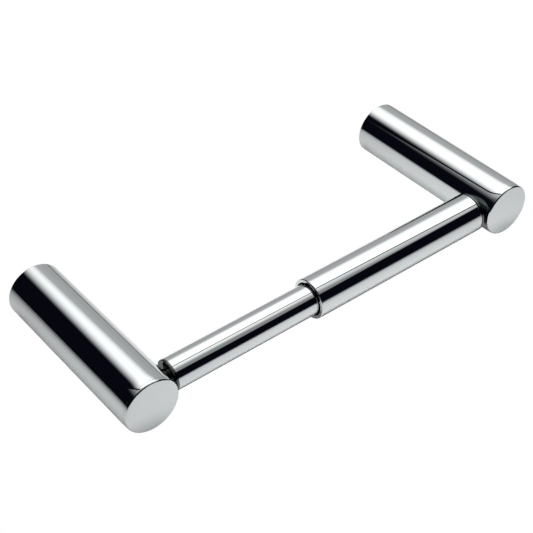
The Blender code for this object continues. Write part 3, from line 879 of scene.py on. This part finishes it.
class HOLDER_OT_roller_spring(bpy.types.Operator):
    """Builds the coil spring that presses the roller apart"""

    bl_idname = "holder.roller_spring"
    bl_label = "Roller Spring"

    def execute(self, context):
        sizes = context.scene.holder_sizes
        colours = context.scene.holder_colours
        wire = sizes.spring_wire / 2
        mean = SPRING_RADIUS - wire
        start, end = SPRING[0].x + wire, SPRING[1].x - wire
        # The wire's centre runs round a helix; a small circle is carried along it, square to its path
        turn = np.linspace(0, sizes.spring_turns, sizes.spring_turns * COIL_STEPS + 1)
        height = spring_height(turn, sizes.spring_turns, sizes.spring_wire, start, end)
        angle = turn * math.tau
        out = np.stack([0 * angle, np.cos(angle), np.sin(angle)], axis=-1)
        centre = np.stack([height, ROLLER_AXIS_Y + mean * out[:, 1], mean * out[:, 2]], axis=-1)
        path = np.gradient(centre, axis=0)
        path = path / np.linalg.norm(path, axis=1, keepdims=True)
        side = np.cross(path, out)
        section = np.linspace(0, math.tau, WIRE_SEGMENTS, endpoint=False)[::-1]
        ring = (
            out[:, None] * np.cos(section)[None, :, None] + side[:, None] * np.sin(section)[None, :, None]
        )
        points = centre[:, None] + wire * ring
        ends = np.broadcast_to(centre[[0, -1], None], (2, WIRE_SEGMENTS, 3))
        points = np.concatenate([ends[:1], points, ends[1:]])
        mesh = grid_mesh("coil_spring", points, False, True, True)
        # How far along the wire each point is, in metres, and how far round it, from 0 to 1 on each half
        length = np.concatenate([[0], np.cumsum(np.linalg.norm(np.diff(centre, axis=0), axis=1))])
        along = np.concatenate([np.repeat(length, WIRE_SEGMENTS), [length[0], length[-1]]])
        around = np.concatenate([np.tile(np.abs(section / math.pi - 1), len(centre)), [0, 0]])
        for key, values in (("along_wire", along), ("around_wire", around)):
            attribute = mesh.attributes.new(key, "FLOAT", "POINT")
            attribute.data.foreach_set("value", values.astype(np.float32))
        mesh.set_sharp_from_angle(angle=WIRE_SHARP_ANGLE)
        spring = new_object("coil_spring", mesh)
        steel = drawn_wire("spring_wire_cold_drawn", tuple(colours.spring_steel))
        finish_piece(spring, "roller_outer", "roller_spring", steel)
        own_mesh(spring)
        return {"FINISHED"}


# ---------------------------------------------------------------- stage

CAMERA_AZIMUTH = math.radians(-38.692)
CAMERA_ELEVATION = math.radians(40.12)
CAMERA_DISTANCE = 0.54033
CAMERA_TARGET = Vector((-0.00809, -0.04375, -0.00574))
CAMERA_LENS = 83.60
CAMERA_SENSOR = 36.0

FLOOR_GAP = 0.3 * MM
FLOOR_HALF = 3.0
FLOOR_GLOW = 0.14             # stands for the light that the studio's walls give the floor
OVERHEAD_SIZE = (0.38, 0.12)
OVERHEAD_PLACE = Vector((0.01, -0.075, 0.20))
OVERHEAD_AIM = Vector((0.01, -0.0749, 0.0))
OVERHEAD_WATTS = 1.1

# The studio by direction. Where a direction meets the ceiling is (across, ahead), in heights of the ceiling.
# The pairs are where a light starts to change and where it has changed; a level is a brightness.
ACROSS = (math.cos(CAMERA_AZIMUTH), math.sin(CAMERA_AZIMUTH), 0.0)
AHEAD = (-math.sin(CAMERA_AZIMUTH), math.cos(CAMERA_AZIMUTH), 0.0)
LEAST_HEIGHT = 0.01           # keeps directions at and below the horizon from dividing by nothing
SOFTBOX_LEVEL = 1.92
SOFTBOX_LEFT = (-0.90, -0.28)
SOFTBOX_RIGHT = (0.85, 1.15)
SOFTBOX_FRONT = (0.262, 0.272)
SOFTBOX_DIMMER = (0.5, 1.1)
SOFTBOX_BACK = (0.95, 1.75)
STRIP_LEVELS = (0.65, 1.45)
STRIP_RISE = (-0.12, 0.10)
STRIP_FRONT = (-0.45, -0.39)
STRIP_BACK = (0.208, 0.216)
STRIP_LEFT = (-1.5, 0.35)
STRIP_DIMMER = (0.5, 0.9)
STRIP_RIGHT = (1.18, 1.34)
WALL_LEVELS = (0.661, 0.57)
WALL_FALL = (1.7, 4.0)
WALL_LEFT = (0.0, 0.4)
WALL_LEFT_SLANT = 0.6
WALL_RIGHT = (0.0, 0.6)
WALL_RIGHT_SLANT = -1.5
STUDIO_TINT = (1.0, 1.0, 0.985, 1)
DARK_CORNERS = (0.0035, 0.0035, 0.008, 1)


def lit_shape(tree, *steps):
    """How bright one lit shape is in each direction: its smooth steps multiplied together.

    A step is (value, edge, low, high): low up to the edge's start, high from its end on, smooth between.
    """
    total = 1.0
    for value, edge, low, high in steps:
        step = add(
            tree, "ShaderNodeMapRange",
            {"Value": value, "From Min": edge[0], "From Max": edge[1], "To Min": low, "To Max": high},
            interpolation_type="SMOOTHSTEP",
        )
        total = add(tree, "ShaderNodeMath", {0: total, 1: step.outputs[0]}, operation="MULTIPLY").outputs[0]
    return total


def studio_world():
    """The studio round the object, by direction: a softbox overhead, a strip in front of it and a grey wall.

    The softbox fades in from the left, is cut off sharply at the front and fades into the wall at the back.
    Reflections see all of it, and the camera sees plain white.
    """
    world = bpy.data.worlds.new("studio")
    world.use_nodes = True
    tree = world.node_tree
    tree.nodes.clear()
    place = add(tree, "ShaderNodeTexCoord").outputs["Generated"]
    height = add(tree, "ShaderNodeSeparateXYZ", {0: place}).outputs["Z"]
    safe_height = add(tree, "ShaderNodeMath", {0: height, 1: LEAST_HEIGHT}, operation="MAXIMUM").outputs[0]
    ceiling = []
    for line in (ACROSS, AHEAD):
        run = add(tree, "ShaderNodeVectorMath", {0: place, 1: line}, operation="DOT_PRODUCT")
        share = {0: run.outputs["Value"], 1: safe_height}
        ceiling.append(add(tree, "ShaderNodeMath", share, operation="DIVIDE").outputs[0])
    across, ahead = ceiling
    softbox = lit_shape(
        tree,
        (across, SOFTBOX_LEFT, 0.0, SOFTBOX_LEVEL),
        (across, SOFTBOX_RIGHT, 1.0, 0.0),
        (ahead, SOFTBOX_FRONT, 0.0, 1.0),
        (ahead, SOFTBOX_DIMMER, 1.0, 0.9),
        (ahead, SOFTBOX_BACK, 1.0, 0.0),
    )
    strip = lit_shape(
        tree,
        (ahead, STRIP_RISE, *STRIP_LEVELS),
        (ahead, STRIP_FRONT, 0.0, 1.0),
        (ahead, STRIP_BACK, 1.0, 0.0),
        (across, STRIP_LEFT, 0.0, 1.0),
        (across, STRIP_DIMMER, 1.0, 0.6),
        (across, STRIP_RIGHT, 1.0, 0.0),
    )
    wall_left = add(
        tree, "ShaderNodeMath", {0: ahead, 1: WALL_LEFT_SLANT, 2: across}, operation="MULTIPLY_ADD"
    ).outputs[0]
    wall_right = add(
        tree, "ShaderNodeMath", {0: across, 1: WALL_RIGHT_SLANT, 2: ahead}, operation="MULTIPLY_ADD"
    ).outputs[0]
    wall = lit_shape(
        tree,
        (ahead, WALL_FALL, *WALL_LEVELS),
        (ahead, SOFTBOX_BACK, 0.0, 1.0),
        (wall_left, WALL_LEFT, 0.0, 1.0),
        (wall_right, WALL_RIGHT, 0.0, 1.0),
    )
    front = add(tree, "ShaderNodeMath", {0: softbox, 1: strip}, operation="ADD")
    level = add(tree, "ShaderNodeMath", {0: front.outputs[0], 1: wall}, operation="ADD")
    lit = add(tree, "ShaderNodeBackground", {"Color": STUDIO_TINT, "Strength": level.outputs[0]})
    dark = add(tree, "ShaderNodeBackground", {"Color": DARK_CORNERS, "Strength": 1.0})
    both = add(tree, "ShaderNodeAddShader", {0: lit.outputs[0], 1: dark.outputs[0]})
    white = add(tree, "ShaderNodeBackground", {"Color": (1, 1, 1, 1), "Strength": 1.0})
    seen = add(tree, "ShaderNodeLightPath").outputs["Is Camera Ray"]
    mixed = add(tree, "ShaderNodeMixShader", {0: seen, 1: both.outputs[0], 2: white.outputs[0]})
    add(tree, "ShaderNodeOutputWorld", {"Surface": mixed.outputs[0]})
    return world


def studio_paper():
    """Matt white background paper: reflections see it lit and faintly mottled, the camera sees plain white.

    It can't be seen from below, so that views from there aren't blocked.
    """
    material, tree, shader, place = new_material("matt_white_paper", linear("#cccbca"), 0.0, 0.9)
    mottle = add(tree, "ShaderNodeTexNoise", {"Vector": place, "Scale": 1 / PAPER_MOTTLE, "Detail": 3.0})
    tone = add(
        tree, "ShaderNodeMix",
        {"Factor": mottle.outputs[0], MIX_A: (*linear("#cecdcb"), 1), MIX_B: (*linear("#c9cacb"), 1)},
        data_type="RGBA",
    )
    tree.links.new(tone.outputs[MIX_RESULT], shader.inputs["Base Color"])
    shader.inputs["Emission Color"].default_value = (1, 1, 1, 1)
    shader.inputs["Emission Strength"].default_value = FLOOR_GLOW
    white = add(tree, "ShaderNodeEmission", {"Color": (1, 1, 1, 1), "Strength": 1.0})
    clear = add(tree, "ShaderNodeBsdfTransparent")
    seen = add(tree, "ShaderNodeLightPath").outputs["Is Camera Ray"]
    below = add(tree, "ShaderNodeNewGeometry").outputs["Backfacing"]
    from_above = add(tree, "ShaderNodeMixShader", {0: seen, 1: shader.outputs[0], 2: white.outputs[0]})
    both = add(tree, "ShaderNodeMixShader", {0: below, 1: from_above.outputs[0], 2: clear.outputs[0]})
    tree.links.new(both.outputs[0], tree.nodes["Material Output"].inputs["Surface"])
    return material


def studio_floor():
    """A flat square of paper just under the holder."""
    height = CAD_BOX[0].z - FLOOR_GAP
    corners = [(x * FLOOR_HALF, y * FLOOR_HALF, height) for x, y in ((-1, -1), (1, -1), (1, 1), (-1, 1))]
    mesh = bpy.data.meshes.new("floor")
    mesh.from_pydata(corners, [], [(0, 1, 2, 3)])
    mesh.materials.append(studio_paper())
    new_object("floor", mesh)


def studio_lamp(scene):
    """A soft overhead lamp that lights the floor and matt pieces, and isn't seen itself."""
    overhead = bpy.data.lights.new("overhead", "AREA")
    overhead.shape = "RECTANGLE"
    overhead.size, overhead.size_y = OVERHEAD_SIZE
    overhead.energy = OVERHEAD_WATTS
    lamp = bpy.data.objects.new("overhead", overhead)
    lamp.location = OVERHEAD_PLACE
    lamp.rotation_mode = "QUATERNION"
    lamp.rotation_quaternion = (OVERHEAD_AIM - OVERHEAD_PLACE).to_track_quat("-Z", "Y")
    lamp.visible_glossy = False
    lamp.visible_camera = False
    scene.collection.objects.link(lamp)


def studio_camera(scene):
    """A long lens that looks down on the holder from the left of its front."""
    back = Vector((
        math.sin(CAMERA_AZIMUTH) * math.cos(CAMERA_ELEVATION),
        -math.cos(CAMERA_AZIMUTH) * math.cos(CAMERA_ELEVATION),
        math.sin(CAMERA_ELEVATION),
    ))
    camera = bpy.data.cameras.new("camera")
    camera.lens = CAMERA_LENS
    camera.sensor_width = CAMERA_SENSOR
    camera.clip_start = 0.01
    camera.clip_end = 20.0
    view = bpy.data.objects.new("camera", camera)
    view.location = CAMERA_TARGET + back * CAMERA_DISTANCE
    view.rotation_mode = "QUATERNION"
    view.rotation_quaternion = (-back).to_track_quat("-Z", "Y")
    scene.collection.objects.link(view)
    scene.camera = view


class HOLDER_OT_studio(bpy.types.Operator):
    """Sets up the pale floor, the soft light and the camera"""

    bl_idname = "holder.studio"
    bl_label = "Studio"

    def execute(self, context):
        scene = context.scene
        studio_floor()
        scene.world = studio_world()
        # Matt surfaces take no light from the world, whose narrow bright shapes would leave them speckled
        scene.world.cycles_visibility.diffuse = False
        studio_lamp(scene)
        studio_camera(scene)
        scene.view_settings.view_transform = "Standard"
        return {"FINISHED"}


# ---------------------------------------------------------------- add-on

OPERATORS = (
    HOLDER_OT_post_shells,
    HOLDER_OT_wall_fixings,
    HOLDER_OT_socket_bushes,
    HOLDER_OT_roller_tubes,
    HOLDER_OT_roller_plugs,
    HOLDER_OT_roller_guide,
    HOLDER_OT_roller_spring,
    HOLDER_OT_studio,
)


class HOLDER_PT_panel(bpy.types.Panel):
    """Lists the holder's sizes, colours and pieces"""

    bl_idname = "HOLDER_PT_panel"
    bl_label = "Toilet Paper Holder"
    bl_space_type = "VIEW_3D"
    bl_region_type = "UI"
    bl_category = "Holder"

    def draw(self, context):
        scene = context.scene
        for group, kind in ((scene.holder_sizes, HolderSizes), (scene.holder_colours, HolderColours)):
            box = self.layout.box()
            for name in kind.__annotations__:
                box.prop(group, name)
        for operator in OPERATORS:
            self.layout.operator(operator.bl_idname)


CLASSES = (HolderSizes, HolderColours, *OPERATORS, HOLDER_PT_panel)


def register():
    """Adds the classes and gives each scene its sizes and colours."""
    for cls in CLASSES:
        bpy.utils.register_class(cls)
    bpy.types.Scene.holder_sizes = bpy.props.PointerProperty(type=HolderSizes)
    bpy.types.Scene.holder_colours = bpy.props.PointerProperty(type=HolderColours)


def unregister():
    """Takes away what register added."""
    del bpy.types.Scene.holder_colours
    del bpy.types.Scene.holder_sizes
    for cls in reversed(CLASSES):
        bpy.utils.unregister_class(cls)


def main():
    """Builds the pieces and the stage."""
    register()
    bpy.ops.holder.post_shells()
    bpy.ops.holder.wall_fixings()
    bpy.ops.holder.socket_bushes()
    bpy.ops.holder.roller_tubes()
    bpy.ops.holder.roller_plugs()
    bpy.ops.holder.roller_guide()
    bpy.ops.holder.roller_spring()
    bpy.ops.holder.studio()


if __name__ == "__main__":
    main()
